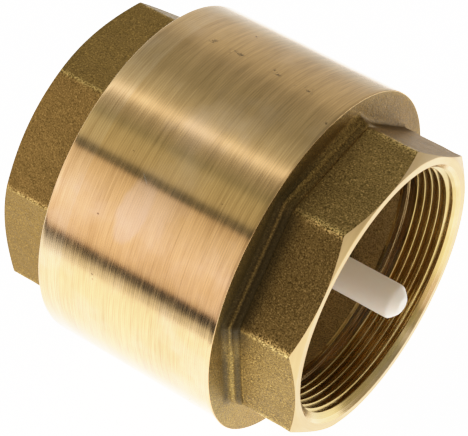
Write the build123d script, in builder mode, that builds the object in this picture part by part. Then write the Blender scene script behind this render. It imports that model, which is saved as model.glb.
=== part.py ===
from build123d import *
import os
from math import cos, radians

# In-line spring check valve, two female G 2 1/2 ports.
# +X is the flow direction and the valve axis, +Z is up.
# The origin is on the axis, where the inlet thread's full wall starts, one lead-in
# (mouth_r - thread_minor_r) inside the inlet face. Millimetres.

# ---------------------------------------------------------------- main sizes
# G 2 1/2, 11 threads per inch: the thread is cosmetic, the bore is its minor diameter
thread_minor_r = 36.113
mouth_r = 38.66             # 45 degree lead-in at each mouth
lead = mouth_r - thread_minor_r

barrel_d = 101.0            # turned barrel, outside
inlet_oct_len = 19.4        # inlet face to the barrel
barrel_len = 56.3
outlet_oct_len = 20.6       # barrel to the outlet face
rim_len = 7.3               # rim of the inlet end piece, flush with the barrel

x_in = -lead                            # inlet face
x_rim = x_in + inlet_oct_len            # barrel starts
x_joint = x_rim + rim_len               # end piece meets the body
x_flange = x_rim + barrel_len           # barrel ends
x_out = x_flange + outlet_oct_len       # outlet face

inlet_af = 82.8             # octagon across flats, inlet side
outlet_af = 81.6            # octagon across flats, outlet side
inlet_oct_turn = 20.6       # a corner's angle from +Y towards +Z, degrees
outlet_oct_turn = 24.9
oct_chamfer_deg = 30.0      # turned chamfer on the octagon's corners
collar_rise = 1.0           # raised octagonal collar at the outlet flange
collar_len = 2.8

# ---------------------------------------------------------------- inside
inlet_thread_x = x_in + 16.9    # inlet thread's inner end
seat_r = 30.0               # waterway through the seat
seat_x = x_in + 34.0               # seat face
seat_nose_r = 33.5
spigot_r = 45.45            # end piece's male thread, screwed into the body
spigot_in_r = 42.0
spigot_x = x_in + 40.0
body_thread_r = 45.5
body_thread_x = x_in + 41.0     # its inner end in the body
seal_groove_r = 48.1
seal_groove_len = 2.0
chamber_r = 44.5
chamber_x = x_in + 69.7            # chamber's outlet end wall
outlet_cast_r = 37.0
outlet_thread_x = x_in + 79.1      # outlet thread's inner end

# moving disc
disc_r = 38.0
plate_x0, plate_x1 = x_in + 37.0, x_in + 41.5
seal_t = 3.0
boss_r, boss_x = 9.0, x_in + 46.5
stem_r = 4.9
stem_shoulder_x = x_out + 3.85
stem_tip_x = x_out + 6.15
stem_tip_r = 2.3
lift = 15.0

# guide
hub_x0 = boss_x + lift
hub_x1 = x_in + 77.5
hub_r = 8.5
guide_bore_r = stem_r + 0.06
spring_seat_x = x_in + 62.5
spring_seat_r = 14.0
guide_ring_x = x_in + 63.7
guide_ring_r = 44.3
guide_ring_in = 41.0
arm_t = 3.5

# spring
wire_r = 0.75
coil_r = 11.2
coil_turns = 3.5

os.makedirs("parts", exist_ok=True)


def limit_x(af):
    """Axial depth of the corner chamfer at the octagon's corners."""
    apothem = af / 2
    return (apothem / cos(radians(22.5)) - apothem) * 0.5774


# ---------------------------------------------------------------- valve body
out_corner = outlet_af / 2 / cos(radians(22.5))
dx = limit_x(outlet_af)
with BuildPart() as valve_body:
    # outlet octagon
    with BuildSketch(Plane.YZ.offset(x_flange)):
        RegularPolygon(radius=out_corner, side_count=8, rotation=outlet_oct_turn)
    extrude(amount=outlet_oct_len)
    # corners turned back at 30 degrees
    with BuildSketch(Plane.XY):
        with BuildLine():
            Polyline(
                (x_flange, 0),
                (x_flange, out_corner + 2),
                (x_out - dx - 2 * 0.5774, out_corner + 2),
                (x_out, outlet_af / 2),
                (x_out, 0),
                close=True,
            )
        make_face()
    revolve(axis=Axis.X, mode=Mode.INTERSECT)
    # raised collar at the flange
    with BuildSketch(Plane.YZ.offset(x_flange)):
        RegularPolygon(
            radius=(outlet_af / 2 + collar_rise) / cos(radians(22.5)),
            side_count=8,
            rotation=outlet_oct_turn,
        )
    extrude(amount=collar_len, taper=8)
    # barrel
    with BuildSketch(Plane.XY):
        with BuildLine():
            Polyline(
                (x_joint, 0),
                (x_joint, barrel_d / 2 - 0.25),
                (x_joint + 0.25, barrel_d / 2),
                (x_flange - 0.5, barrel_d / 2),
                (x_flange, barrel_d / 2 - 0.5),
                (x_flange, 0),
                close=True,
            )
        make_face()
    revolve(axis=Axis.X)
    # everything hollow inside it
    with BuildSketch(Plane.XY):
        with BuildLine():
            Polyline(
                (x_joint - 1, 0),
                (x_joint - 1, seal_groove_r),
                (x_joint + seal_groove_len, seal_groove_r),
                (x_joint + seal_groove_len, body_thread_r),
                (body_thread_x, body_thread_r),
                (body_thread_x + 1.0, chamber_r),
                (chamber_x, chamber_r),
                (chamber_x, outlet_cast_r),
                (outlet_thread_x - 0.9, outlet_cast_r),
                (outlet_thread_x, thread_minor_r),
                (x_out - lead, thread_minor_r),
                (x_out + 1, mouth_r + 1),
                (x_out + 1, 0),
                close=True,
            )
        make_face()
    revolve(axis=Axis.X, mode=Mode.SUBTRACT)
valve_body.part.label = "valve_body"
export_step(valve_body.part, "parts/valve_body.step")

# ---------------------------------------------------------------- inlet end piece
in_corner = inlet_af / 2 / cos(radians(22.5))
dxi = limit_x(inlet_af)
with BuildPart() as inlet_end_piece:
    # inlet octagon
    with BuildSketch(Plane.YZ.offset(x_in)):
        RegularPolygon(radius=in_corner, side_count=8, rotation=inlet_oct_turn)
    extrude(amount=inlet_oct_len)
    with BuildSketch(Plane.XY):
        with BuildLine():
            Polyline(
                (x_in, 0),
                (x_in, inlet_af / 2),
                (x_in + dxi + 2 * 0.5774, in_corner + 2),
                (x_rim, in_corner + 2),
                (x_rim, 0),
                close=True,
            )
        make_face()
    revolve(axis=Axis.X, mode=Mode.INTERSECT)
    # rim flush with the barrel, and the male thread's spigot
    with BuildSketch(Plane.XY):
        with BuildLine():
            Polyline(
                (x_rim, 0),
                (x_rim, barrel_d / 2 - 0.5),
                (x_rim + 0.5, barrel_d / 2),
                (x_joint - 0.25, barrel_d / 2),
                (x_joint, barrel_d / 2 - 0.25),
                (x_joint, spigot_r),
                (spigot_x - 0.8, spigot_r),
                (spigot_x, spigot_r - 0.8),
                (spigot_x, 0),
                close=True,
            )
        make_face()
    revolve(axis=Axis.X)
    # inlet port, relief groove and waterway, seat nose and the pocket round it
    with BuildSketch(Plane.XY):
        with BuildLine():
            Polyline(
                (x_in - 1, 0),
                (x_in - 1, mouth_r + 1),
                (0, thread_minor_r),
                (inlet_thread_x, thread_minor_r),
                (inlet_thread_x + 0.9, 37.0),
                (x_in + 20.2, 37.0),
                (x_in + 24.5, seat_r),
                (seat_x - 0.6, seat_r),
                (seat_x, seat_r + 0.6),
                (seat_x, seat_nose_r - 0.5),
                (seat_x - 0.5, seat_nose_r),
                (seat_x - 3.0, seat_nose_r + 1.2),
                (seat_x - 3.0, spigot_in_r),
                (spigot_x + 1, spigot_in_r),
                (spigot_x + 1, 0),
                close=True,
            )
        make_face()
    revolve(axis=Axis.X, mode=Mode.SUBTRACT)
inlet_end_piece.part.label = "inlet_end_piece"
export_step(inlet_end_piece.part, "parts/inlet_end_piece.step")

# ---------------------------------------------------------------- seal ring in the joint
with BuildPart() as body_seal_ring:
    with BuildSketch(Plane.YZ.offset(x_joint)):
        Circle(seal_groove_r - 0.1)
        Circle(spigot_r + 0.15, mode=Mode.SUBTRACT)
    extrude(amount=seal_groove_len)
body_seal_ring.part.label = "body_seal_ring"
export_step(body_seal_ring.part, "parts/body_seal_ring.step")

# ---------------------------------------------------------------- disc carrier with stem
with BuildPart() as disc_carrier:
    with BuildSketch(Plane.XY):
        with BuildLine():
            Polyline(
                (plate_x0 - seal_t, 0),
                (plate_x0 - seal_t, 12.0),
                (plate_x0, 12.0),
                (plate_x0, 36.6),
                (plate_x0 - 1.8, 36.6),
                (plate_x0 - 1.8, disc_r - 0.4),
                (plate_x0 - 1.4, disc_r),
                (plate_x1 - 1.2, disc_r),
                (plate_x1, disc_r - 1.2),
                (plate_x1, boss_r),
                (boss_x, boss_r),
                (boss_x, stem_r),
                (stem_shoulder_x, stem_r),
                (stem_tip_x - 0.3, stem_tip_r + 0.25),
                (stem_tip_x, stem_tip_r - 0.3),
                (stem_tip_x, 0),
                close=True,
            )
        make_face()
    revolve(axis=Axis.X)
    # pilot hole for the clamp screw
    with BuildSketch(Plane.YZ.offset(plate_x0 - seal_t)):
        Circle(3.02)
    extrude(amount=15.0, mode=Mode.SUBTRACT)
disc_carrier.part.label = "disc_carrier"
export_step(disc_carrier.part, "parts/disc_carrier.step")

# ---------------------------------------------------------------- disc seal
with BuildPart() as disc_seal:
    with BuildSketch(Plane.YZ.offset(plate_x0 - seal_t)):
        Circle(36.5)
        Circle(12.1, mode=Mode.SUBTRACT)
    extrude(amount=seal_t)
disc_seal.part.label = "disc_seal"
export_step(disc_seal.part, "parts/disc_seal.step")

# ---------------------------------------------------------------- clamp plate, washer, screw
with BuildPart() as seal_clamp_plate:
    with BuildSketch(Plane.YZ.offset(plate_x0 - seal_t - 2.0)):
        Circle(27.5)
        Circle(3.3, mode=Mode.SUBTRACT)
    extrude(amount=2.0)
    chamfer(seal_clamp_plate.edges().group_by(Axis.X)[0].sort_by(SortBy.LENGTH)[-1], 0.5)
seal_clamp_plate.part.label = "seal_clamp_plate"
export_step(seal_clamp_plate.part, "parts/seal_clamp_plate.step")

with BuildPart() as clamp_washer:
    with BuildSketch(Plane.YZ.offset(plate_x0 - seal_t - 3.2)):
        Circle(6.25)
        Circle(3.2, mode=Mode.SUBTRACT)
    extrude(amount=1.2)
clamp_washer.part.label = "clamp_washer"
export_step(clamp_washer.part, "parts/clamp_washer.step")

screw_x = plate_x0 - seal_t - 3.2
with BuildPart() as clamp_screw:
    with BuildSketch(Plane.YZ.offset(screw_x - 4.0)):
        RegularPolygon(radius=5.0, side_count=6, major_radius=False)
    extrude(amount=4.0)
    with BuildSketch(Plane.XY):
        with BuildLine():
            Polyline(
                (screw_x - 4.0, 0),
                (screw_x - 4.0, 4.8),
                (screw_x - 3.4, 5.9),
                (screw_x, 5.9),
                (screw_x, 0),
                close=True,
            )
        make_face()
    revolve(axis=Axis.X, mode=Mode.INTERSECT)
    with BuildSketch(Plane.YZ.offset(screw_x)):
        Circle(3.0)
    extrude(amount=16.8)
clamp_screw.part.label = "clamp_screw"
export_step(clamp_screw.part, "parts/clamp_screw.step")

# ---------------------------------------------------------------- stem guide
with BuildPart() as stem_guide:
    # hub
    with BuildSketch(Plane.YZ.offset(hub_x0)):
        Circle(hub_r)
    extrude(amount=hub_x1 - hub_x0)
    # spring seat
    with BuildSketch(Plane.YZ.offset(spring_seat_x)):
        Circle(spring_seat_r)
    extrude(amount=2.2)
    # four arms
    with BuildSketch(Plane.YZ.offset(guide_ring_x)):
        with PolarLocations(0, 4, start_angle=45):
            with Locations((25.0, 0)):
                Rectangle(36.0, arm_t)
    extrude(amount=chamber_x - guide_ring_x)
    # outer ring, held against the chamber's end wall
    with BuildSketch(Plane.YZ.offset(guide_ring_x)):
        Circle(guide_ring_r)
        Circle(guide_ring_in, mode=Mode.SUBTRACT)
    extrude(amount=chamber_x - guide_ring_x)
    # bore for the stem
    with BuildSketch(Plane.YZ.offset(hub_x0)):
        Circle(guide_bore_r)
    extrude(amount=hub_x1 - hub_x0, mode=Mode.SUBTRACT)
stem_guide.part.label = "stem_guide"
export_step(stem_guide.part, "parts/stem_guide.step")

# ---------------------------------------------------------------- return spring
coil_x0 = plate_x1 + wire_r + 0.05
coil_len = spring_seat_x - plate_x1 - 2 * wire_r - 0.1
with BuildPart() as return_spring:
    with BuildLine() as coil:
        Helix(
            pitch=coil_len / coil_turns,
            height=coil_len,
            radius=coil_r,
            center=(coil_x0, 0, 0),
            direction=(1, 0, 0),
        )
    with BuildSketch(Plane(origin=coil.line @ 0, z_dir=coil.line % 0)):
        Circle(wire_r)
    sweep(path=coil.line, is_frenet=True)
return_spring.part.label = "return_spring"
export_step(return_spring.part, "parts/return_spring.step")
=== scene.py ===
import math
import bpy
import bmesh
import numpy as np
from mathutils import Vector, Matrix


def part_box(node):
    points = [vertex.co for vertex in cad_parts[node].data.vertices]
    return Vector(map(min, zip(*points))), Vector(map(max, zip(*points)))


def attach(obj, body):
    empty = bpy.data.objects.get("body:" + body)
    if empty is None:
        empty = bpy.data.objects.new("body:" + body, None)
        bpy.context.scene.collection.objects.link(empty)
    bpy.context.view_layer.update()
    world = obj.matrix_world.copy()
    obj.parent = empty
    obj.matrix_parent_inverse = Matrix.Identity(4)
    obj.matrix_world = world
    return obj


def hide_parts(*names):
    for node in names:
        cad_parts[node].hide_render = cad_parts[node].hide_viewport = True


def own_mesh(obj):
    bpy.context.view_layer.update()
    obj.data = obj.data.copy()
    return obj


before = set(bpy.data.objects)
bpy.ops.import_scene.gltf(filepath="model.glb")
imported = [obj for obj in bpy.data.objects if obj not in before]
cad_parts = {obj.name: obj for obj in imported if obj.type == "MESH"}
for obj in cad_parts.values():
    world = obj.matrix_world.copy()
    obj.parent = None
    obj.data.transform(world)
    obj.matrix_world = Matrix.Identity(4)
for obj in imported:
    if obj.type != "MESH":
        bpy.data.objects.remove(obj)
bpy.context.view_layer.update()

MM = 0.001
D2R = math.pi / 180.0
PITCH = 2.309            # 11 threads per inch
MINOR = 36.113
DEPTH = 1.479


def mm_box(node):
    lo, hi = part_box(node)
    return [c / MM for c in lo], [c / MM for c in hi]


body_lo, body_hi = mm_box("valve_body")
end_lo, end_hi = mm_box("inlet_end_piece")
disc_lo, disc_hi = mm_box("disc_carrier")
guide_lo, guide_hi = mm_box("stem_guide")

X_IN = end_lo[0]
X_OUT = body_hi[0]
X_JOINT = body_lo[0]
X_RIM = X_IN + 19.4
X_FLANGE = X_OUT - 20.6
R_BARREL = 50.5
MOUTH = 38.66
TURN_OUT, TURN_IN = 24.9, 20.6
AF_OUT, AF_IN = 81.6, 82.8

rng = np.random.default_rng(7)
_K = rng.normal(size=(14, 3))
_K /= np.linalg.norm(_K, axis=1)[:, None]
_F = rng.uniform(0.6, 1.9, 14)
_P = rng.uniform(0, 2 * math.pi, 14)


def swell(p, size):
    """Smooth noise in -1..1 at points p, with bumps about `size` long, the same on every run."""
    t = np.tensordot(p, (_K * _F[:, None]).T, axes=1) * (2 * math.pi / size) + _P
    return np.sin(t).mean(-1) * 2.2


# ---------------------------------------------------------------- ring-shaped meshes
def angles(turn, step=0.5, fine=0.12, half=1.6):
    """Angles round the axis from +Y towards +Z, denser at an octagon's corners."""
    a = list(np.arange(0, 360, step))
    if turn is not None:
        for k in range(8):
            c = (turn + 45 * k) % 360
            a = [t for t in a if min(abs(t - c), 360 - abs(t - c)) > half]
            a += [(c + d) % 360 for d in np.arange(-half, half + 1e-6, fine)]
    return np.array(sorted(set(np.round(a, 4))))


def octagon(th, turn, apothem, rho):
    """Radius of an octagon with corners rounded to rho, at angles th (degrees)."""
    d = np.abs((th - turn + 22.5) % 45 - 22.5)        # from the nearest corner
    flat = apothem / np.cos((22.5 - d) * D2R)
    rc = (apothem - rho) / math.cos(22.5 * D2R)
    edge = 22.5 - math.degrees(math.atan((apothem - rho) * math.tan(22.5 * D2R) / apothem))
    s = np.clip(rho * rho - (rc * np.sin(d * D2R)) ** 2, 0, None)
    return np.where(d < edge, rc * np.cos(d * D2R) + np.sqrt(s), flat)


class Lathe:
    """A closed skin made of rings round the X axis. Each ring has its own x and radius at every angle."""

    def __init__(self, th):
        self.th = th
        self.n = len(th)
        self.co, self.faces, self.mat, self.attr, self.tints = [], [], [], [], []
        self.count = 0
        self.last = None
        self.first = None

    def _add(self, x, r, wear_and_shading=0.0, tint=(1.0, 1.0, 1.0)):
        x = np.broadcast_to(np.asarray(x, float), (self.n,)).copy()
        r = np.broadcast_to(np.asarray(r, float), (self.n,)).copy()
        w = np.broadcast_to(np.asarray(wear_and_shading, float), (self.n,)).copy()
        a = self.th * D2R
        self.co.append(np.stack([x, r * np.cos(a), r * np.sin(a)], 1))
        self.attr.append(w)
        self.tints.append(np.broadcast_to(np.asarray(tint, float), (self.n, 3)).copy())
        ids = np.arange(self.count, self.count + self.n)
        self.count += self.n
        return ids

    def _strip(self, a, b, mat):
        a2, b2 = np.roll(a, -1), np.roll(b, -1)
        self.faces += np.stack([a, a2, b2, b], 1).tolist()
        self.mat += [mat] * self.n

    def ring(self, x, r, mat=0, wear_and_shading=0.0, tint=(1.0, 1.0, 1.0)):
        ids = self._add(x, r, wear_and_shading, tint)
        if self.last is not None:
            self._strip(self.last, ids, mat)
        else:
            self.first = ids
        self.last = ids
        return self

    def rings(self, pts, mat=0, wear_and_shading=0.0):
        for x, r in pts:
            self.ring(x, r, mat, wear_and_shading)
        return self

    def close(self, mat=0):
        self._strip(self.last, self.first, mat)
        return self

    def thread(self, xa, xb, x_end, r_end, radius, crest_x, mat, wear_and_shading=0.0):
        """A right-hand internal thread from the last ring (at xa) to a new ring at x_end, r_end (xb is next to it).
        radius(x, phase) gives the wall; crest_x is a crest's place at angle 0."""
        u = np.array([0, .07, .105, .14, .195, .25, .305, .36, .395, .43, .5, .57, .605, .64, .695, .75, .805, .86, .895, .93])
        npp = len(u)
        sgn = 1 if xb > xa else -1
        lo, hi = min(xa, xb), max(xa, xb)
        k0 = math.floor((lo - crest_x) / PITCH) - 2
        k1 = math.ceil((hi - crest_x) / PITCH) + 1
        base = np.concatenate([k + u for k in range(k0, k1 + 1)])
        K = len(base)
        x = crest_x + PITCH * (base[:, None] + self.th[None, :] / 360.0)
        first_row = self.last
        last_row = self._add(x_end, r_end, wear_and_shading)
        low_row, high_row = (first_row, last_row) if sgn > 0 else (last_row, first_row)
        eps = 0.012
        inside = (x > lo + eps) & (x < hi - eps)
        phase = np.broadcast_to((base % 1.0)[:, None], x.shape)
        r = radius(x, phase)
        a = self.th * D2R
        ids = np.full(x.shape, -1)
        ids[inside] = self.count + np.arange(inside.sum())
        A = np.broadcast_to(a, x.shape)
        self.co.append(np.stack([x[inside], (r * np.cos(A))[inside], (r * np.sin(A))[inside]], 1))
        self.attr.append(np.zeros(inside.sum()) + wear_and_shading)
        self.tints.append(np.ones((int(inside.sum()), 3)))
        self.count += int(inside.sum())
        ids = np.where(x <= lo + eps, np.broadcast_to(low_row, x.shape), ids)
        ids = np.where(x >= hi - eps, np.broadcast_to(high_row, x.shape), ids)
        seam = np.empty(K, int)
        seam[: K - npp] = ids[npp:, 0]
        seam[K - npp:] = high_row[0]
        full = np.concatenate([ids, seam[:, None]], 1)
        q = np.stack([full[:-1, :-1], full[:-1, 1:], full[1:, 1:], full[1:, :-1]], -1).reshape(-1, 4)
        for f in q.tolist():
            g = [f[0]] + [b for a_, b in zip(f, f[1:]) if b != a_]
            if len(g) > 1 and g[0] == g[-1]:
                g.pop()
            if len(set(g)) >= 3 and len(set(g)) == len(g):
                self.faces.append(g)
                self.mat.append(mat)
        self.last = last_row
        return self

    def points(self):
        return np.concatenate(self.co)


def flat_shading_tints(th, turn, table):
    """Painted light and shade on a casting, flat by flat: (angle of the flat's middle, tint) pairs, plain elsewhere."""
    out = np.ones((len(th), 3))
    for mid_, tint in table:
        d = np.abs((th - mid_ + 180) % 360 - 180)
        out[d < 22.5] = tint
    return out


def blend_shading_tints(th, table):
    """Painted light and shade round a flange: (angle, tint) stops, even between them and closed round the circle."""
    a = np.array([t[0] for t in table], float)
    c = np.array([t[1] for t in table], float)
    a = np.concatenate([[a[-1] - 360], a, [a[0] + 360]])
    c = np.concatenate([c[-1:], c, c[:1]])
    return np.stack([np.interp(th, a, c[:, i]) for i in range(3)], 1)


def window(th, a, b, c, d):
    """0 before a, 1 between b and c, 0 after d (degrees), smooth between."""
    u = np.clip((th - a) / (b - a), 0, 1)
    v = np.clip((th - c) / (d - c), 0, 1)
    return u * u * (3 - 2 * u) * (1 - v * v * (3 - 2 * v))


def finish_mesh(name, co, faces, mats, mat_index, wear_and_shading=None, sharp=35.0, tint=None):
    me = bpy.data.meshes.new(name)
    me.from_pydata((np.asarray(co) * MM).tolist(), [], faces)
    me.update()
    bm = bmesh.new()
    bm.from_mesh(me)
    bmesh.ops.recalc_face_normals(bm, faces=bm.faces)
    bm.to_mesh(me)
    bm.free()
    for m in mats:
        me.materials.append(m)
    me.polygons.foreach_set("material_index", np.asarray(mat_index, np.int32))
    me.polygons.foreach_set("use_smooth", np.ones(len(me.polygons), bool))
    me.set_sharp_from_angle(angle=sharp * D2R)
    if wear_and_shading is not None:
        at = me.attributes.new("wear_and_shading", "FLOAT", "POINT")
        at.data.foreach_set("value", np.asarray(wear_and_shading, np.float32))
    if tint is not None:
        at = me.attributes.new("tint", "FLOAT_VECTOR", "POINT")
        at.data.foreach_set("vector", np.asarray(tint, np.float32).ravel())
    me.update()
    ob = bpy.data.objects.new(name, me)
    bpy.context.scene.collection.objects.link(ob)
    return ob


# ---------------------------------------------------------------- materials
def new_material(name):
    m = bpy.data.materials.new(name)
    m.use_nodes = True
    nt = m.node_tree
    nt.nodes.clear()
    out = nt.nodes.new("ShaderNodeOutputMaterial")
    b = nt.nodes.new("ShaderNodeBsdfPrincipled")
    nt.links.new(b.outputs[0], out.inputs[0])
    return m, nt, b


def node(nt, kind, **kw):
    n = nt.nodes.new(kind)
    for k, v in kw.items():
        setattr(n, k, v)
    return n


def math_node(nt, op, a, b=None, c=None, clamp=False):
    n = nt.nodes.new("ShaderNodeMath")
    n.operation = op
    n.use_clamp = clamp
    for i, v in enumerate((a, b, c)):
        if v is None:
            continue
        if hasattr(v, "is_output") or hasattr(v, "links"):
            nt.links.new(v, n.inputs[i])
        else:
            n.inputs[i].default_value = v
    return n.outputs[0]


def xyz(nt):
    tc = node(nt, "ShaderNodeTexCoord")
    s = node(nt, "ShaderNodeSeparateXYZ")
    nt.links.new(tc.outputs["Object"], s.inputs[0])
    return tc.outputs["Object"], s.outputs[0], s.outputs[1], s.outputs[2]


def combine(nt, x, y, z):
    n = node(nt, "ShaderNodeCombineXYZ")
    for i, v in enumerate((x, y, z)):
        if hasattr(v, "links"):
            nt.links.new(v, n.inputs[i])
        else:
            n.inputs[i].default_value = v
    return n.outputs[0]


def noise(nt, vec, scale, detail=3.0, rough=0.5, dist=0.0):
    n = node(nt, "ShaderNodeTexNoise")
    nt.links.new(vec, n.inputs["Vector"])
    n.inputs["Scale"].default_value = scale
    n.inputs["Detail"].default_value = detail
    n.inputs["Roughness"].default_value = rough
    n.inputs["Distortion"].default_value = dist
    return n.outputs["Fac"]


def remap(nt, v, a, b, c, d, smooth=False):
    n = node(nt, "ShaderNodeMapRange")
    n.interpolation_type = "SMOOTHSTEP" if smooth else "LINEAR"
    nt.links.new(v, n.inputs[0])
    for i, t in enumerate((a, b, c, d)):
        n.inputs[i + 1].default_value = t
    return n.outputs[0]


def mix(nt, fac, a, b, mode="MIX"):
    n = node(nt, "ShaderNodeMix", data_type="RGBA", blend_type=mode)
    if hasattr(fac, "links"):
        nt.links.new(fac, n.inputs["Factor"])
    else:
        n.inputs["Factor"].default_value = fac
    for sock, v in ((n.inputs[6], a), (n.inputs[7], b)):
        if hasattr(v, "links"):
            nt.links.new(v, sock)
        else:
            sock.default_value = (*v, 1.0)
    return n.outputs[2]


def bump(nt, height, strength, dist, normal=None):
    n = node(nt, "ShaderNodeBump")
    n.inputs["Strength"].default_value = strength
    n.inputs["Distance"].default_value = dist
    nt.links.new(height, n.inputs["Height"])
    if normal is not None:
        nt.links.new(normal, n.inputs["Normal"])
    return n.outputs[0]


def turned_brass(name, base=(0.89, 0.556, 0.225), dark=(0.575, 0.350, 0.130), pale=(0.88, 0.61, 0.36), rough=0.20, seed=0.0,
                 feed=0.65, worked=False, aniso=0.95, lines=1.0, film=0.0):
    """Brass turned on a lathe: fine feed marks round the axis, on the outside, on the faces and in the bore."""
    m, nt, b = new_material(name)
    vec, x, y, z = xyz(nt)
    r = math_node(nt, "SQRT", math_node(nt, "ADD", math_node(nt, "MULTIPLY", y, y), math_node(nt, "MULTIPLY", z, z)))
    across = math_node(nt, "ADD", x, r)          # grows along the barrel and across a face, so marks always run round

    def rings(freq, along, off):
        lie = math_node(nt, "MULTIPLY", math_node(nt, "MULTIPLY_ADD", z, 0.62, y), along)
        side = math_node(nt, "MULTIPLY", math_node(nt, "MULTIPLY_ADD", y, -0.62, z), along)
        return combine(nt, math_node(nt, "MULTIPLY_ADD", across, freq, off + seed), lie, side)

    fine = noise(nt, rings(2350.0, 75.0, 3.0), 1.0, 2.0, 0.6)
    mid = noise(nt, rings(1350.0, 70.0, 11.0), 1.0, 2.0, 0.55)
    broad = noise(nt, rings(210.0, 16.0, 23.0), 1.0, 2.0, 0.5)
    blot = noise(nt, vec, 38.0, 4.0, 0.6)
    blot2 = noise(nt, combine(nt, math_node(nt, "ADD", x, 0.31 + seed), y, z), 90.0, 3.0, 0.5)
    turns = math_node(nt, "SINE", math_node(nt, "ADD", math_node(nt, "MULTIPLY", across, 2 * math.pi / (feed * MM)),
                                            math_node(nt, "MULTIPLY", mid, 3.0)))
    tone = math_node(nt, "ADD", math_node(nt, "MULTIPLY", fine, 0.30 * lines),
                     math_node(nt, "ADD", math_node(nt, "MULTIPLY", mid, 0.30 * lines),
                               math_node(nt, "ADD", math_node(nt, "MULTIPLY", broad, 0.22), math_node(nt, "MULTIPLY", turns, 0.030 * lines))))
    mid_tone = 0.5 * (0.60 * lines + 0.22)
    f = remap(nt, tone, mid_tone - 0.125, mid_tone + 0.095, 0.0, 1.0)
    col = mix(nt, f, dark, base)
    col = mix(nt, remap(nt, blot, 0.46, 0.70, 0.0, 0.55, True), col, pale)
    rgh = math_node(nt, "ADD", remap(nt, fine, 0.3, 0.7, rough - 0.03, rough + 0.04), remap(nt, blot2, 0.40, 0.75, 0.0, 0.06))
    h = math_node(nt, "ADD", math_node(nt, "MULTIPLY", fine, 0.35),
                  math_node(nt, "ADD", math_node(nt, "MULTIPLY", mid, 0.6), math_node(nt, "MULTIPLY", turns, 0.25)))
    nrm = bump(nt, h, 0.5 * lines, 0.00002)
    if worked:
        ang = math_node(nt, "ARCTAN2", z, y)
        x0 = X_RIM * MM
        arc = math_node(nt, "MULTIPLY", math_node(nt, "SUBTRACT", ang, 77.9 * D2R), 0.0505)
        grit = noise(nt, vec, 640.0, 3.0, 0.65)
        grit2 = noise(nt, vec, 1900.0, 2.0, 0.6)

        def zone(v, c, half, soft):
            d = math_node(nt, "ABSOLUTE", math_node(nt, "SUBTRACT", v, c))
            return remap(nt, d, half - soft, half + soft, 1.0, 0.0, True)

        # pores that the cut has opened, here and there along one line on the upper side
        strip = None
        for c, half, lift in ((0.0142, 0.0024, 0.0), (0.0222, 0.0030, 0.0003), (0.0352, 0.0040, -0.0002), (0.0428, 0.0035, 0.0002)):
            zz = math_node(nt, "MULTIPLY", zone(x, x0 + c, half, 0.0012), zone(arc, lift, 0.0009, 0.0007))
            strip = zz if strip is None else math_node(nt, "MAXIMUM", strip, zz)
        spots = math_node(nt, "MULTIPLY", remap(nt, grit, 0.55, 0.63, 0.0, 1.0, True), remap(nt, grit2, 0.30, 0.55, 0.4, 1.0))
        stray = math_node(nt, "MULTIPLY", remap(nt, noise(nt, vec, 300.0, 2.0, 0.6), 0.745, 0.775, 0.0, 0.7, True), 1.0)
        pores = math_node(nt, "MAXIMUM", math_node(nt, "MULTIPLY", strip, spots), stray)
        col = mix(nt, math_node(nt, "MULTIPLY", pores, 0.85), col, (0.13, 0.085, 0.04))
        rgh = math_node(nt, "ADD", rgh, math_node(nt, "MULTIPLY", pores, 0.3))
        # a handled, duller patch, and one light scratch
        px = math_node(nt, "SUBTRACT", x, x0 + 0.0236)
        arc2 = math_node(nt, "MULTIPLY", math_node(nt, "SUBTRACT", ang, 139.0 * D2R), 0.0505)
        ps = math_node(nt, "ADD", arc2, math_node(nt, "MULTIPLY", px, 0.5))
        d2 = math_node(nt, "ADD", math_node(nt, "POWER", math_node(nt, "ABSOLUTE", math_node(nt, "DIVIDE", px, 0.0044)), 2.0),
                       math_node(nt, "POWER", math_node(nt, "ABSOLUTE", math_node(nt, "DIVIDE", ps, 0.0095)), 2.0))
        d2 = math_node(nt, "ADD", d2, math_node(nt, "MULTIPLY", math_node(nt, "SUBTRACT", blot2, 0.5), 2.6))
        patch = remap(nt, d2, 0.35, 1.1, 1.0, 0.0, True)
        col = mix(nt, math_node(nt, "MULTIPLY", patch, 0.30), col, (0.92, 0.70, 0.52))
        rgh = math_node(nt, "ADD", rgh, math_node(nt, "MULTIPLY", patch, 0.045))
        arc3 = math_node(nt, "MULTIPLY", math_node(nt, "SUBTRACT", ang, 128.9 * D2R), 0.0505)
        sc = math_node(nt, "SUBTRACT", arc3, math_node(nt, "MULTIPLY", math_node(nt, "SUBTRACT", x, x0 + 0.0231), 0.9))
        scratch = math_node(nt, "MULTIPLY", zone(sc, 0.0, 0.00013, 0.00010), zone(x, x0 + 0.0231, 0.0010, 0.0005))
        col = mix(nt, math_node(nt, "MULTIPLY", scratch, 0.8), col, (0.98, 0.86, 0.72))
    nt.links.new(col, b.inputs["Base Color"])
    nt.links.new(rgh, b.inputs["Roughness"])
    nt.links.new(nrm, b.inputs["Normal"])
    b.inputs["Metallic"].default_value = 1.0
    if aniso:
        # the marks run round the axis, so a highlight spreads along it
        b.inputs["Anisotropic"].default_value = aniso
        b.inputs["Anisotropic Rotation"].default_value = 0.25
        tg = node(nt, "ShaderNodeTangent", direction_type="RADIAL", axis="X")
        nt.links.new(tg.outputs[0], b.inputs["Tangent"])
    if film:
        # a thin film of preserving oil
        b.inputs["Coat Weight"].default_value = film
        b.inputs["Coat Roughness"].default_value = 0.22
        b.inputs["Coat IOR"].default_value = 1.5
    return m


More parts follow.
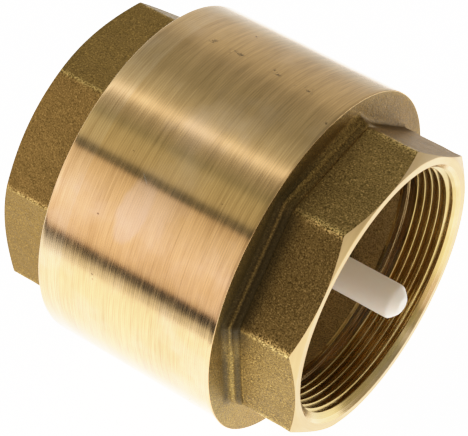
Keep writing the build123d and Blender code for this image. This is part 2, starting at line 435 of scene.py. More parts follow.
def cast_brass(name, base=(0.42, 0.265, 0.078), dark=(0.165, 0.103, 0.029), light=(1.0, 0.70, 0.24), rough=0.42, grain=1.0, specks=0.55):
    """Brass as cast and shot-blasted: a fine sandy grain and corners peened bright, with painted shade in the recesses
    and on the shaded sides, painted light and shade flat by flat, and one painted highlight line.
    """
    m, nt, b = new_material(name)
    vec, x, y, z = xyz(nt)
    g1 = noise(nt, vec, 2350.0, 2.0, 0.6)
    g2 = noise(nt, vec, 5200.0, 2.0, 0.6)
    g3 = noise(nt, vec, 520.0, 3.0, 0.55)
    big = noise(nt, vec, 60.0, 3.0, 0.5)
    t = math_node(nt, "ADD", math_node(nt, "MULTIPLY", g1, 0.60), math_node(nt, "ADD", math_node(nt, "MULTIPLY", g2, 0.26), math_node(nt, "MULTIPLY", big, 0.14)))
    f = remap(nt, t, 0.425, 0.60, 0.0, 1.0)
    col = mix(nt, f, dark, base)
    # single bright grains and small dark pits anywhere
    glint = remap(nt, g1, 0.60, 0.68, 0.0, specks, True)
    col = mix(nt, glint, col, (0.80, 0.53, 0.18))
    pit = remap(nt, g1, 0.40, 0.33, 0.0, specks, True)
    col = mix(nt, pit, col, (0.045, 0.029, 0.009))
    # painted light and shade: the tint attribute scales the colour flat by flat and round the flange
    tint = node(nt, "ShaderNodeAttribute", attribute_name="tint").outputs["Vector"]
    col = mix(nt, 1.0, col, tint, "MULTIPLY")
    # above zero the attribute is real wear on corners and edges, plus one painted highlight line on the collar's lower
    # side; below zero it is painted shade
    wear_and_shading = node(nt, "ShaderNodeAttribute", attribute_name="wear_and_shading").outputs["Fac"]
    spark = remap(nt, g1, 0.46, 0.57, 0.0, 1.0)
    worn_or_lit = math_node(nt, "MULTIPLY", math_node(nt, "MAXIMUM", wear_and_shading, 0.0), spark, clamp=True)
    # painted shade: the colour goes near black and less metallic where the attribute is below zero
    painted_shade = math_node(nt, "MULTIPLY", math_node(nt, "MAXIMUM", math_node(nt, "MULTIPLY", wear_and_shading, -1.0), 0.0), 1.0, clamp=True)
    col = mix(nt, worn_or_lit, col, light)
    col = mix(nt, painted_shade, col, (0.034, 0.024, 0.007))
    rgh = math_node(nt, "SUBTRACT", remap(nt, g1, 0.3, 0.7, rough - 0.05, rough + 0.10), math_node(nt, "MULTIPLY", worn_or_lit, 0.12))
    h = math_node(nt, "ADD", math_node(nt, "MULTIPLY", g1, 1.0), math_node(nt, "ADD", math_node(nt, "MULTIPLY", g2, 0.40), math_node(nt, "MULTIPLY", g3, 1.0)))
    nrm = bump(nt, h, 0.85 * grain, 0.00022)
    nt.links.new(col, b.inputs["Base Color"])
    nt.links.new(rgh, b.inputs["Roughness"])
    nt.links.new(nrm, b.inputs["Normal"])
    nt.links.new(math_node(nt, "MULTIPLY_ADD", painted_shade, -0.9, 1.0), b.inputs["Metallic"])
    b.inputs["Specular Tint"].default_value = (0.985, 0.94, 0.87, 1.0)
    b.inputs["Specular IOR Level"].default_value = 0.10
    return m


def plastic(name, base, dark, rough=0.42, sub=0.0, scale=700.0, strength=0.25, sss=(1.0, 0.8, 0.6), painted_glow=0.0):
    m, nt, b = new_material(name)
    vec, x, y, z = xyz(nt)
    n1 = noise(nt, vec, scale, 3.0, 0.55)
    n2 = noise(nt, vec, 90.0, 3.0, 0.5)
    f = remap(nt, math_node(nt, "ADD", math_node(nt, "MULTIPLY", n1, 0.35), math_node(nt, "MULTIPLY", n2, 0.65)), 0.36, 0.64, 0.0, 1.0)
    nt.links.new(mix(nt, f, dark, base), b.inputs["Base Color"])
    nt.links.new(remap(nt, n1, 0.3, 0.7, rough - 0.06, rough + 0.08), b.inputs["Roughness"])
    nt.links.new(bump(nt, math_node(nt, "ADD", n1, math_node(nt, "MULTIPLY", n2, 2.0)), strength, 0.00006), b.inputs["Normal"])
    if sub:
        b.inputs["Subsurface Weight"].default_value = sub
        b.inputs["Subsurface Radius"].default_value = sss
        b.inputs["Subsurface Scale"].default_value = 0.003
    if painted_glow:
        # painted light: a faint emission makes the nylon glow, standing in for light that passes through milky nylon
        b.inputs["Emission Color"].default_value = (1.0, 0.77, 0.53, 1.0)
        b.inputs["Emission Strength"].default_value = painted_glow
    return m


def steel(name, base=(0.60, 0.585, 0.56), dark=(0.40, 0.39, 0.37), rough=0.24, scale=1200.0):
    m, nt, b = new_material(name)
    vec, x, y, z = xyz(nt)
    n1 = noise(nt, vec, scale, 3.0, 0.6)
    n2 = noise(nt, vec, 160.0, 2.0, 0.5)
    f = remap(nt, math_node(nt, "ADD", math_node(nt, "MULTIPLY", n1, 0.5), math_node(nt, "MULTIPLY", n2, 0.5)), 0.36, 0.64, 0.0, 1.0)
    nt.links.new(mix(nt, f, dark, base), b.inputs["Base Color"])
    nt.links.new(remap(nt, n1, 0.3, 0.7, rough - 0.05, rough + 0.1), b.inputs["Roughness"])
    nt.links.new(bump(nt, n1, 0.3, 0.00003), b.inputs["Normal"])
    b.inputs["Metallic"].default_value = 1.0
    return m


M_TURN = turned_brass("brass_turned_barrel", worked=True, rough=0.16, film=0.5)
M_TURN_RIM = turned_brass("brass_turned_rim", base=(0.91, 0.60, 0.275), dark=(0.62, 0.385, 0.160), pale=(0.91, 0.68, 0.45), seed=41.0, rough=0.16, film=0.5)
M_FACE = turned_brass("brass_turned_face", base=(0.72, 0.49, 0.22), dark=(0.60, 0.395, 0.165), pale=(0.74, 0.54, 0.31), rough=0.34, seed=17.0, lines=0.6, aniso=0.0)
M_BORE = turned_brass("brass_thread", base=(0.68, 0.475, 0.165), dark=(0.42, 0.29, 0.095), pale=(0.78, 0.58, 0.28), rough=0.20, seed=29.0, lines=0.5, aniso=0.75)
M_LAND = turned_brass("brass_bored_land", base=(0.82, 0.58, 0.27), dark=(0.60, 0.41, 0.17), pale=(0.86, 0.64, 0.38), rough=0.17, seed=53.0, lines=0.7, aniso=0.75)
M_CAST = cast_brass("brass_cast")
M_CAST_END = cast_brass("brass_cast_end", base=(0.375, 0.237, 0.070), dark=(0.205, 0.129, 0.037), specks=0.35, grain=0.62)
# a lighter copy of the cast brass for the inside of the body: painted light in the bore
M_CAST_IN = cast_brass("brass_cast_inside", base=(0.62, 0.425, 0.165), dark=(0.30, 0.20, 0.07), rough=0.52)
# the white nylon gets a faint painted glow by emission
M_NYLON = plastic("nylon_white", (0.95, 0.87, 0.76), (0.92, 0.83, 0.70), rough=0.34, sub=0.45, painted_glow=0.10)
M_BLACK = plastic("nylon_black", (0.035, 0.035, 0.038), (0.02, 0.02, 0.021), rough=0.42, scale=1400.0)
M_NBR = plastic("rubber_nbr", (0.030, 0.030, 0.031), (0.014, 0.014, 0.014), rough=0.62, scale=1800.0, strength=0.5)
M_STEEL = steel("steel_wire")
M_SCREW = steel("steel_screw", base=(0.56, 0.555, 0.54), dark=(0.36, 0.355, 0.34), rough=0.30)

# ---------------------------------------------------------------- valve body
TURN, CAST, FACE, BORE, INSIDE, LAND = 0, 1, 2, 3, 4, 5
thread_in_x = X_IN + 16.9
out_thread_x = X_IN + 79.1
chamber_x = X_IN + 69.7


def thread_h(ph):
    d = np.minimum(ph, 1 - ph)
    return np.interp(d, [0, .07, .105, .14, .195, .36, .395, .43, .5], [0, .012, .06, .15, .31, .83, .93, .985, 1.0])


# painted light and shade on the two castings, flat by flat: each flat's colour is made lighter or darker as light falls
# on it
FLAT_SHADING_OUT = ((47.4, (1.10, 0.98, 0.85)), (92.4, (1.28, 1.32, 1.42)), (137.4, (0.66, 0.70, 0.72)), (182.4, (0.98, 0.99, 0.92)))
FLAT_SHADING_IN = ((88.1, (1.25, 1.22, 1.15)), (133.1, (0.97, 0.99, 1.00)), (178.1, (0.85, 0.80, 0.62)))
FLANGE_SHADING = ((30, (0.63, 0.56, 0.44)), (80, (1.0, 0.98, 0.95)), (150, (1.0, 1.04, 1.0)), (195, (1.02, 1.08, 1.0)), (235, (1.22, 1.18, 0.98)), (300, (1.05, 1.03, 0.92)))



def body_mesh():
    th = angles(TURN_OUT)
    L = Lathe(th)
    af = AF_OUT / 2
    corner = octagon(th, TURN_OUT, af, 1.7)
    near = np.exp(-((np.abs((th - TURN_OUT + 22.5) % 45 - 22.5) / 1.35) ** 2))
    xj = X_JOINT
    # the flange's cast edge stands a little proud on the mould's parting side
    proud = 1.15 * window(th, 183, 222, 238, 264)
    # joint face, barrel, flange
    L.rings([(xj, 48.1), (xj, 49.2), (xj, R_BARREL)], TURN)
    for t in np.linspace(0, 1, 40)[1:-1]:
        x = xj + t * (X_FLANGE - 0.22 - xj)
        L.ring(x, R_BARREL + proud * np.clip((x - X_FLANGE + 4.0) / 4.0, 0, 1) ** 2, TURN)
    for dx, dr in ((0.22, 0.0), (0.10, 0.03), (0.03, 0.10), (0.0, 0.22)):
        L.ring(X_FLANGE - dx, R_BARREL - dr + proud, TURN)
    # flange face, a fillet up to the collar's soft ridge, and a second fillet down to the octagon;
    # the collar dies out on the two flats at the mould's parting line
    outer = R_BARREL - 0.22 + proud
    has = 1 - np.maximum(window(th, 2, 10, 58, 77), window(th, 199, 209, 241, 249))

    def run(x, r):
        small = corner + 0.9 * np.maximum(0.0, 1 - (x - X_FLANGE + 0.03) / 0.9) ** 2
        return has * r + (1 - has) * small

    foot = octagon(th, TURN_OUT, af + 3.8, 3.4)
    ridge = octagon(th, TURN_OUT, af + 2.1, 2.3)
    # windows by angle round the axis where light and shade are painted: left and upper sides darker, the lower side
    # darker in the fillets with one lighter edge
    left = window(th, 76, 114, 160, 176)
    left2 = window(th, 106, 120, 160, 176)
    upper = window(th, 68, 78, 106, 120)
    low = window(th, 166, 180, 198, 210)
    # painted light and shade round the flange and the collar, by angle
    tints = blend_shading_tints(th, FLANGE_SHADING)
    foot_in = run(X_FLANGE - 0.03, foot)
    for t in np.linspace(0, 1, 10)[1:]:
        r = outer + (foot_in - outer) * t
        lumps = 0.05 * swell(np.stack([np.full_like(r, X_FLANGE), r * np.cos(th * D2R), r * np.sin(th * D2R)], 1), 7.0)
        # flange face: painted shade on the left and lower sides; slightly brighter at its outer edge
        shade = left * 0.80 * t ** 0.7 + low * 0.30 * t ** 3
        L.ring(X_FLANGE + lumps * (1 if t < 1 else 0.3) - 0.03, r, CAST, -shade if t > 0.12 else 0.05, tints)
    # first fillet: painted shade on the left and lower sides
    for i in range(1, 10):
        a = i / 9 * 74 * D2R
        k = math.sin(math.pi * i / 9) ** 0.7
        x = X_FLANGE - 0.03 + 1.0 * (1 - math.cos(a)) / (1 - math.cos(74 * D2R))
        L.ring(x, run(x, foot + (ridge - foot) * math.sin(a) / math.sin(74 * D2R)), CAST, -(left * 0.85 + low * (0.20 + 0.50 * k)), tints)
    xr = X_FLANGE + 0.97
    # the ridge: a touch of wear on its top, painted shade on the left side
    for dx, dr, w, dk in ((0.20, 0.05, 0.0, 0.80), (0.42, 0.14, 0.02, 0.62), (0.66, 0.28, 0.02, 0.45), (0.88, 0.46, 0.0, 0.75), (1.08, 0.70, 0.0, 0.90)):
        L.ring(xr + dx, run(xr + dx, ridge - dr), CAST, w - left2 * dk, tints)
    x2, f0 = xr + 1.08, ridge - 0.70
    steps = 10
    for i in range(1, steps + 1):
        a = i / steps * 86 * D2R
        k = math.sin(math.pi * i / steps) ** 0.5
        x = x2 + 1.58 * math.sin(a) / math.sin(86 * D2R)
        # second fillet: painted shade on the left, lower and upper sides; its last ring paints a highlight on the lower
        # side and shade on the left
        w = -(left2 * 0.92 + low * 0.72 * k + upper * 0.45 * k) if i < steps else 0.30 * low - 0.8 * left2
        L.ring(x, run(x, f0 + (corner - f0) * (1 - math.cos(a)) / (1 - math.cos(86 * D2R))), CAST, w, tints)
    x3 = x2 + 1.58
    # the octagon, to where the turned chamfer starts at each angle
    face_r = af
    def end_x(r):
        return X_OUT - np.maximum(r - face_r, 0.0) * 0.5774
    x_end = end_x(corner) - 0.02
    rows = 34
    for i in range(1, rows + 1):
        t = i / rows
        x = x3 + (x_end - x3) * t
        P = np.stack([x, corner * np.cos(th * D2R), corner * np.sin(th * D2R)], 1)
        env = min(1.0, 6 * t, 8 * (1 - t)) if t < 1 else 0.0
        dr = (0.055 * swell(P, 9.0) + 0.03 * swell(P + 31.0, 3.1)) * env
        peen = near * (1.0 + 0.45 * swell(P + 5.0, 3.0)) * np.clip((t - 0.10) / 0.35, 0, 1)
        # painted shade on the flats next to the collar, mostly on the left side
        collar_shade = 0.75 * left2 * np.exp(-((x - x3) / 2.6) ** 2) + 0.12 * upper * np.exp(-((x - x3) / 2.0) ** 2)
        # the tints paint light and shade flat by flat
        L.ring(x, corner + dr - 0.03 * env, CAST, peen * 1.15 - collar_shade * (1 - near), flat_shading_tints(th, TURN_OUT, FLAT_SHADING_OUT))
    # chamfer, end face, mouth
    for t in (0.12, 0.5, 0.9, 1.0):
        r = corner + (face_r - 0.02 - corner) * t
        L.ring(X_OUT - np.maximum(r - face_r, 0) * 0.5774 - 0.02 * (1 - t), r, FACE)
    L.rings([(X_OUT, face_r - 0.15), (X_OUT, 40.0), (X_OUT, 39.2), (X_OUT, MOUTH)], FACE)
    L.ring(X_OUT - 0.45, MOUTH - 0.45, LAND)
    L.ring(X_OUT - 0.95, MOUTH - 0.95, LAND)

    def wall(x, ph):
        # a plain land, one wide shallow groove and a second land follow the last full turn
        d = X_OUT - x
        fade = np.clip((13.05 - d) / 0.85, 0, 1)
        groove = 0.62 * np.clip((d - 14.1) / 0.28, 0, 1) * np.clip((15.55 - d) / 0.28, 0, 1)
        r = MINOR + DEPTH * thread_h(ph) * fade * fade * (3 - 2 * fade) + groove
        return np.maximum(r, MOUTH - d)

    crest = X_OUT - 3.48 - PITCH * 335.9 / 360
    L.thread(X_OUT - 0.95, X_OUT - 13.2, X_OUT - 13.22, MINOR, wall, crest, BORE)
    for d, dr in ((14.0, 0.0), (14.1, 0.02), (14.24, 0.2), (14.38, 0.5), (14.5, 0.61), (14.8, 0.63), (15.15, 0.61), (15.28, 0.5), (15.42, 0.2), (15.55, 0.02), (15.65, 0.0), (16.75, 0.0)):
        L.ring(X_OUT - d, MINOR + dr, LAND)
    # thread's inner edge, cast bore, chamber, body thread
    L.rings([(X_OUT - 16.95, MINOR + 0.05), (X_OUT - 17.12, MINOR + 0.2), (out_thread_x - 0.9, 36.98)], BORE)
    for t in np.linspace(0, 1, 12)[1:]:
        x = out_thread_x - 0.9 + t * (chamber_x + 0.35 - out_thread_x + 0.9)
        P = np.stack([np.full_like(th, x), 37 * np.cos(th * D2R), 37 * np.sin(th * D2R)], 1)
        L.ring(x, 36.98 + 0.07 * swell(P, 6.0) * (1 if t < 1 else 0), INSIDE)
    L.rings([(chamber_x + 0.1, 37.1), (chamber_x, 37.35), (chamber_x, 40.9), (chamber_x, 44.4), (chamber_x - 0.1, 44.5)], INSIDE)
    L.rings([(chamber_x - 6.2, 44.5), (chamber_x - 15, 44.5), (X_IN + 42.0, 44.5), (X_IN + 41.0, 45.5)], INSIDE)
    L.rings([(X_JOINT + 2.0, 45.5), (X_JOINT + 2.0, 48.1)], TURN)
    L.close(TURN)
    ob = finish_mesh("valve_body_skin", L.points(), L.faces, [M_TURN, M_CAST, M_FACE, M_BORE, M_CAST_IN, M_LAND], L.mat, np.concatenate(L.attr),
                     tint=np.concatenate(L.tints))
    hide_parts("valve_body")
    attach(ob, "housing")
    return ob


def end_mesh():
    th = angles(TURN_IN)
    L = Lathe(th)
    af = AF_IN / 2
    corner = octagon(th, TURN_IN, af, 1.7)
    near = np.exp(-((np.abs((th - TURN_IN + 22.5) % 45 - 22.5) / 0.85) ** 2))
    # from the joint outwards: spigot, rim, flange
    L.rings([(X_IN + 39.2, 45.45), (X_JOINT + 0.05, 45.45), (X_JOINT, 45.5), (X_JOINT, 48.0), (X_JOINT, R_BARREL)], TURN)
    for t in np.linspace(0, 1, 8)[1:-1]:
        L.ring(X_JOINT + t * (X_RIM + 0.35 - X_JOINT), R_BARREL, TURN)
    L.rings([(X_RIM + 0.35, R_BARREL), (X_RIM + 0.16, R_BARREL - 0.05), (X_RIM + 0.05, R_BARREL - 0.16), (X_RIM, R_BARREL - 0.35)], TURN)
    base = octagon(th, TURN_IN, af + 1.1, 2.2)
    outer = R_BARREL - 0.35
    for t in np.linspace(0, 1, 6)[1:]:
        r = outer + (base - outer) * t
        L.ring(X_RIM + 0.03 + 0.04 * swell(np.stack([np.full_like(r, X_RIM), r * np.cos(th * D2R), r * np.sin(th * D2R)], 1), 7.0) * (t < 1), r, CAST)
    for i in range(1, 8):
        a = i / 7 * 90 * D2R
        L.ring(X_RIM + 0.03 - 1.1 * (1 - math.cos(a)), base + (corner - base) * math.sin(a), CAST)
    x3 = X_RIM + 0.03 - 1.1
    face_r = af
    x_end = X_IN + np.maximum(corner - face_r, 0) * 0.5774 + 0.02
    rows = 34
    for i in range(1, rows + 1):
        t = i / rows
        x = x3 + (x_end - x3) * t
        P = np.stack([x, corner * np.cos(th * D2R), corner * np.sin(th * D2R)], 1)
        env = min(1.0, 6 * t, 8 * (1 - t)) if t < 1 else 0.0
        dr = (0.055 * swell(P, 9.0) + 0.03 * swell(P + 31.0, 3.1)) * env
        # corners peened bright (wear); the tints paint light and shade flat by flat
        L.ring(x, corner + dr - 0.03 * env, CAST, near * (0.60 + 0.35 * swell(P + 5.0, 3.0)), flat_shading_tints(th, TURN_IN, FLAT_SHADING_IN))
    for t in (0.12, 0.5, 0.9, 1.0):
        r = corner + (face_r - 0.02 - corner) * t
        L.ring(X_IN + np.maximum(r - face_r, 0) * 0.5774 + 0.02 * (1 - t), r, FACE)
    L.rings([(X_IN, face_r - 0.15), (X_IN, 40.0), (X_IN, 39.2), (X_IN, MOUTH)], FACE)
    L.ring(X_IN + 0.45, MOUTH - 0.45, LAND)
    L.ring(X_IN + 0.95, MOUTH - 0.95, LAND)

    def wall(x, ph):
        run = np.clip((x - (thread_in_x - 3.6)) / 3.4, 0, 1)
        r = MINOR + np.maximum(DEPTH * thread_h(ph) - DEPTH * run, 0.0)
        return np.maximum(r, MOUTH - (x - X_IN))

    L.thread(X_IN + 0.95, thread_in_x - 0.05, thread_in_x - 0.02, MINOR, wall, X_IN + 2.4, BORE)
    L.rings([(thread_in_x + 0.08, MINOR + 0.1), (thread_in_x + 0.9, 36.98), (X_IN + 20.2, 36.98)], BORE)
    for t in np.linspace(0, 1, 8)[1:]:
        L.ring(X_IN + 20.2 + 4.3 * t, 36.98 - 6.98 * t, INSIDE)
    L.rings([(X_IN + 29, 30.0), (X_IN + 33.4, 30.0)], BORE)
    L.rings([(X_IN + 33.75, 30.2), (X_IN + 34.0, 30.6), (X_IN + 34.0, 33.0), (X_IN + 33.85, 33.35), (X_IN + 33.5, 33.5)], FACE)
    L.rings([(X_IN + 31.15, 34.65), (X_IN + 31.0, 34.9), (X_IN + 31.0, 41.7), (X_IN + 31.2, 42.0)], BORE)
    L.rings([(X_IN + 39.7, 42.0), (X_IN + 40.0, 42.3), (X_IN + 40.0, 44.65)], BORE)
    L.close(TURN)
    ob = finish_mesh("inlet_end_skin", L.points(), L.faces, [M_TURN_RIM, M_CAST_END, M_FACE, M_BORE, M_CAST_IN, M_LAND], L.mat, np.concatenate(L.attr),
                     tint=np.concatenate(L.tints))
    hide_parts("inlet_end_piece")
    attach(ob, "housing")
    return ob


body_skin = body_mesh()
end_skin = end_mesh()


# ---------------------------------------------------------------- disc carrier with its stem
def capped_lathe(th, rings, mats_of, name, mats, sharp=30.0, dent=None):
    """A skin closed at both ends on the axis: the first and the last ring become caps of triangles to one point."""
    L = Lathe(th)
    for (x, r), mt in zip(rings, mats_of):
        rr = r
        if dent is not None:
            rr = r + dent(x, r, th)
        L.ring(x, rr, mt)
    co = L.points()
    a = len(co)
    co = np.concatenate([co, [[rings[0][0], 0, 0], [rings[-1][0], 0, 0]]])
    n = L.n
    for i in range(n):
        j = (i + 1) % n
        L.faces.append([int(L.first[i]), int(L.first[j]), a])
        L.mat.append(mats_of[0])
        L.faces.append([int(L.last[i]), int(L.last[j]), a + 1])
        L.mat.append(mats_of[-1])
    return finish_mesh(name, co, L.faces, mats, L.mat, None, sharp)


def carrier_mesh():
    th = angles(None, step=3.0)
    px0, px1 = X_IN + 37.0, X_IN + 41.5
    bx, tip = X_IN + 46.5, disc_hi[0]
    sh = tip - 2.3
    pts = [(px0 - 3.0, 3.02), (px0 - 3.0, 11.7), (px0 - 2.8, 12.0), (px0, 12.0), (px0, 36.6), (px0 - 1.7, 36.6), (px0 - 1.8, 36.7), (px0 - 1.8, 37.6),
           (px0 - 1.68, 37.86), (px0 - 1.4, 38.0), (px0 + 1.5, 38.0), (px1 - 1.2, 37.95), (px1 - 0.5, 37.65), (px1 - 0.12, 37.1), (px1, 36.4),
           (px1, 30.0), (px1, 20.0), (px1, 10.2), (px1 + 0.2, 9.5), (px1 + 0.7, 9.1), (px1 + 1.4, 9.0), (bx - 0.5, 8.95), (bx - 0.14, 8.8), (bx - 0.04, 8.5), (bx - 0.04, 4.9),
           (bx + 4, 4.9)]
    for x in np.linspace(bx + 6, sh - 0.9, 22):
        pts.append((float(x), 4.9 - 0.03 * (x - bx) / (sh - bx)))
    # coned end, its edges softened as moulded
    pts += [(sh - 0.6, 4.86), (sh - 0.25, 4.82), (sh + 0.05, 4.73), (sh + 0.35, 4.54), (sh + 0.75, 4.18), (sh + 1.2, 3.72), (sh + 1.6, 3.28),
            (sh + 1.9, 2.92), (sh + 2.08, 2.66), (sh + 2.2, 2.38), (sh + 2.27, 1.95), (sh + 2.3, 1.3), (sh + 2.3, 0.6)]

    def dent(x, r, th_):
        # the moulded tip isn't quite round
        if x < sh - 1.0:
            return 0.0
        return -0.05 * (1 + np.sin(3 * th_ * D2R + 0.6)) * min(1.0, (x - sh + 1.0) / 1.6)

    L = Lathe(th)
    for x, r in pts:
        L.ring(x, r + dent(x, r, th), 0)
    co = L.points()
    a = len(co)
    hole_x = X_IN + 49.0
    # pilot hole, then its floor
    hole = [(px0 - 3.0, 3.02), (hole_x, 3.02)]
    ids = L.first
    n = L.n
    ring2 = np.stack([np.full(n, hole_x), 3.02 * np.cos(th * D2R), 3.02 * np.sin(th * D2R)], 1)
    co = np.concatenate([co, ring2, [[hole_x, 0, 0], [pts[-1][0], 0, 0]]])
    for i in range(n):
        j = (i + 1) % n
        L.faces.append([int(ids[i]), int(ids[j]), a + j, a + i])
        L.faces.append([a + i, a + j, a + n])
        L.faces.append([int(L.last[i]), int(L.last[j]), a + n + 1])
        L.mat += [0, 0, 0]
    ob = finish_mesh("disc_carrier_skin", co, L.faces, [M_NYLON], L.mat, None, 40.0)
    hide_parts("disc_carrier")
    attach(ob, "disc")
    return ob


carrier = carrier_mesh()


# ---------------------------------------------------------------- return spring
def spring_mesh():
    """Round wire; each end coil closes flat onto its seat."""
    lo, hi = mm_box("return_spring")
    rw, rc = 0.75, 11.2
    turns = 3.5
    n = 720
    s = np.linspace(0, 1, n)
    ang = s * turns * 2 * math.pi
    t = s * turns
    # a flat half turn at each end, even pitch between
    rise = np.clip((t - 0.75) / (turns - 1.5), 0, 1)
    start, stop = lo[0] + rw, hi[0] - rw
    dead = 0.03
    x = start + (stop - start) * rise
    x[t < 0.75] = start
    x[t > turns - 0.75] = stop
    # soften the two kinks
    k = np.ones(41) / 41
    x = np.convolve(np.pad(x, 20, mode="edge"), k, mode="valid")
    c = np.stack([x, rc * np.cos(ang), rc * np.sin(ang)], 1)
    tan = np.gradient(c, axis=0)
    tan /= np.linalg.norm(tan, axis=1)[:, None]
    out = np.stack([np.zeros(n), np.cos(ang), np.sin(ang)], 1)
    bi = np.cross(tan, out)
    bi /= np.linalg.norm(bi, axis=1)[:, None]
    m = 16
    co, faces = [], []
    for j in range(m):
        a = 2 * math.pi * j / m
        co.append(c + rw * (math.cos(a) * out + math.sin(a) * bi))
    co = np.stack(co, 1).reshape(-1, 3)
    for i in range(n - 1):
        for j in range(m):
            k2 = (j + 1) % m
            faces.append([i * m + j, i * m + k2, (i + 1) * m + k2, (i + 1) * m + j])
    faces.append(list(range(m)))
    faces.append([(n - 1) * m + j for j in range(m)][::-1])
    ob = finish_mesh("return_spring_wire", co, faces, [M_STEEL], [0] * len(faces), None, 50.0)
    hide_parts("return_spring")
    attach(ob, "housing")
    return ob


spring = spring_mesh()
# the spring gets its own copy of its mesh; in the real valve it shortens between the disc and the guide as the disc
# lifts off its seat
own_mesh(spring)

# ---------------------------------------------------------------- the CAD nodes that stay get real materials
for nm, mt in (("stem_guide", M_BLACK), ("disc_seal", M_NBR), ("body_seal_ring", M_NBR),
               ("clamp_washer", M_SCREW), ("clamp_screw", M_SCREW), ("seal_clamp_plate", M_FACE)):
    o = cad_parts[nm]
    o.data.materials.clear()
    o.data.materials.append(mt)

# ---------------------------------------------------------------- floor, light, camera
floor_z = -R_BARREL * MM
WHITE = 2.3
fl = bpy.data.meshes.new("floor")
fx0, fx1, fy = -0.55, 0.50, 0.185
fl.from_pydata([(fx0, -fy, floor_z), (fx1, -fy, floor_z), (fx1, fy, floor_z), (fx0, fy, floor_z)], [], [(0, 1, 2, 3)])
floor = bpy.data.objects.new("floor", fl)
bpy.context.scene.collection.objects.link(floor)
# a lit table top: mostly its own light, a little of the room's, so that a faint shadow stays
fm, nt, b = new_material("floor_white")
b.inputs["Base Color"].default_value = (0.55, 0.55, 0.55, 1)
b.inputs["Roughness"].default_value = 0.9
b.inputs["Specular IOR Level"].default_value = 0.0
b.inputs["Emission Color"].default_value = (1, 0.995, 0.985, 1)
b.inputs["Emission Strength"].default_value = 1.72
fl.materials.append(fm)

world = bpy.data.worlds.new("studio")
bpy.context.scene.world = world
world.use_nodes = True
wn = world.node_tree
wn.nodes.clear()
wo = wn.nodes.new("ShaderNodeOutputWorld")
tc = wn.nodes.new("ShaderNodeTexCoord")
sep = wn.nodes.new("ShaderNodeSeparateXYZ")
wn.links.new(tc.outputs["Generated"], sep.inputs[0])
# the studio is long boxes and flags that lie along the valve: its light depends on the angle round the X axis,
# from +Y (0) over the top (90) to -Y (180), and a little on how far along X one looks
ang = math_node(wn, "ARCTAN2", sep.outputs[2], sep.outputs[1])
turn = math_node(wn, "FRACT", math_node(wn, "ADD", math_node(wn, "DIVIDE", ang, 2 * math.pi), 0.25))
ramp = wn.nodes.new("ShaderNodeValToRGB")
ramp.color_ramp.interpolation = "LINEAR"
wn.links.new(turn, ramp.inputs[0])
LEVELS = [
    (-60, (1.28, 1.27, 1.25)), (-30, (1.03, 1.03, 1.00)), (-16, (0.79, 0.80, 0.78)), (-6, (0.65, 0.62, 0.58)), (18, (0.61, 0.59, 0.54)),
    (28, (0.53, 0.515, 0.47)), (38, (0.36, 0.36, 0.34)), (54, (0.34, 0.35, 0.32)), (64, (0.35, 0.36, 0.33)), (76, (0.53, 0.55, 0.52)),
    (82, (0.64, 0.64, 0.58)), (86, (0.95, 0.92, 0.88)), (89, (1.55, 1.44, 1.42)), (91, (1.50, 1.38, 1.38)), (93.5, (0.90, 0.86, 0.85)),
    (96.5, (0.52, 0.51, 0.48)), (100, (0.40, 0.39, 0.35)), (108.5, (0.32, 0.33, 0.26)), (114, (0.54, 0.53, 0.41)), (124, (0.59, 0.56, 0.43)),
    (127, (0.54, 0.52, 0.41)), (129.5, (0.19, 0.19, 0.16)), (133.5, (0.11, 0.12, 0.10)), (136, (0.79, 0.67, 0.58)), (144, (1.05, 0.89, 0.81)),
    (154, (1.22, 1.04, 1.02)), (166, (1.48, 1.23, 1.25)), (178, (1.32, 1.07, 1.02)), (187.1, (1.24, 1.00, 0.90)), (190.0, (0.02, 0.02, 0.02)),
    (196.8, (0.02, 0.02, 0.02)), (200.2, (0.98, 1.00, 1.00)),
]
els = ramp.color_ramp.elements
while len(els) < len(LEVELS):
    els.new(0.5)
for e, (deg, v) in zip(els, LEVELS):
    e.position = min((deg + 90) / 360.0, 1.0)
    e.color = (*v, 1)
alr = wn.nodes.new("ShaderNodeValToRGB")
wn.links.new(math_node(wn, "MULTIPLY_ADD", sep.outputs[0], 0.5, 0.5), alr.inputs[0])
ALONG = [(-1.0, 1.4), (-0.62, 1.3), (-0.40, 1.0), (-0.12, 0.55), (0.35, 0.55), (0.8, 0.75), (1.0, 0.85)]
while len(alr.color_ramp.elements) < len(ALONG):
    alr.color_ramp.elements.new(0.5)
for e, (px_, v) in zip(alr.color_ramp.elements, ALONG):
    e.position = 0.5 + 0.5 * px_
    e.color = (v, v, v, 1)
lit = mix(wn, 1.0, ramp.outputs[0], alr.outputs[0], "MULTIPLY")
bg = wn.nodes.new("ShaderNodeBackground")
wn.links.new(lit, bg.inputs[0])
bg.inputs[1].default_value = 1.0
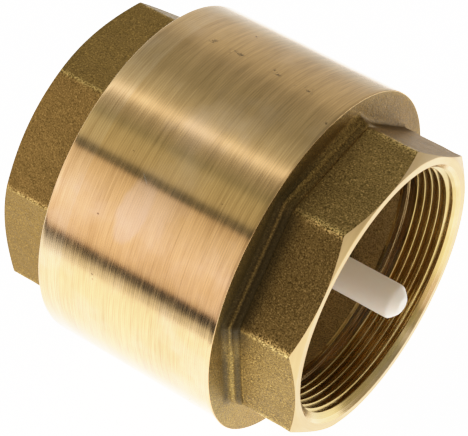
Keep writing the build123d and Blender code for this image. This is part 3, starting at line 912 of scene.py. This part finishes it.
plain = wn.nodes.new("ShaderNodeBackground")
plain.inputs[0].default_value = (1, 1, 0.99, 1)
plain.inputs[1].default_value = WHITE
lp = wn.nodes.new("ShaderNodeLightPath")
sw = wn.nodes.new("ShaderNodeMixShader")
wn.links.new(lp.outputs["Is Camera Ray"], sw.inputs[0])
wn.links.new(bg.outputs[0], sw.inputs[1])
wn.links.new(plain.outputs[0], sw.inputs[2])
wn.links.new(sw.outputs[0], wo.inputs[0])

cam_data = bpy.data.cameras.new("camera")
cam = bpy.data.objects.new("camera", cam_data)
bpy.context.scene.collection.objects.link(cam)
s = 101.0 / 105.0
T = (20.4702 * s, 11.6175 * s, 573.5437 * s)
right = Vector((0.80852, 0.58847, 0.0))
down = Vector((0.43920, -0.60343, -0.66556))
fwd = right.cross(down)
ref = Vector(((X_OUT - 25.98485 * s), 0, 0))
pos = (ref - (right * T[0] + down * T[1] + fwd * T[2])) * MM
rot = Matrix((right, -down, -fwd)).transposed()
cam.matrix_world = Matrix.Translation(pos) @ rot.to_4x4()
cam_data.sensor_width = 36.0
cam_data.lens = 2037.36 * 36.0 / 468.0
cam_data.shift_x = 0.92 / 468.0
cam_data.shift_y = -5.76 / 468.0
cam_data.clip_start = 0.02
cam_data.dof.use_dof = False
bpy.context.scene.camera = cam

bpy.context.scene.view_settings.view_transform = "Standard"
bpy.context.scene.view_settings.look = "None"
# a print-like curve: straight in the darks and the middle, with a long shoulder for the white table
vs = bpy.context.scene.view_settings
vs.use_curve_mapping = True
cm = vs.curve_mapping
cm.white_level = (3.0, 3.0, 3.0)
cc = cm.curves[3]
SHOULDER = [(0.0, 0.0), (0.3, 0.3), (0.5, 0.47), (0.62, 0.56), (0.75, 0.65), (1.0, 0.80), (1.2, 0.88), (1.5, 0.955), (1.8, 0.985), (2.1, 1.0), (3.0, 1.0)]
while len(cc.points) < len(SHOULDER):
    cc.points.new(0.5, 0.5)
for p, (px_, py_) in zip(cc.points, SHOULDER):
    p.location = (px_ / 3.0, py_)
cm.update()
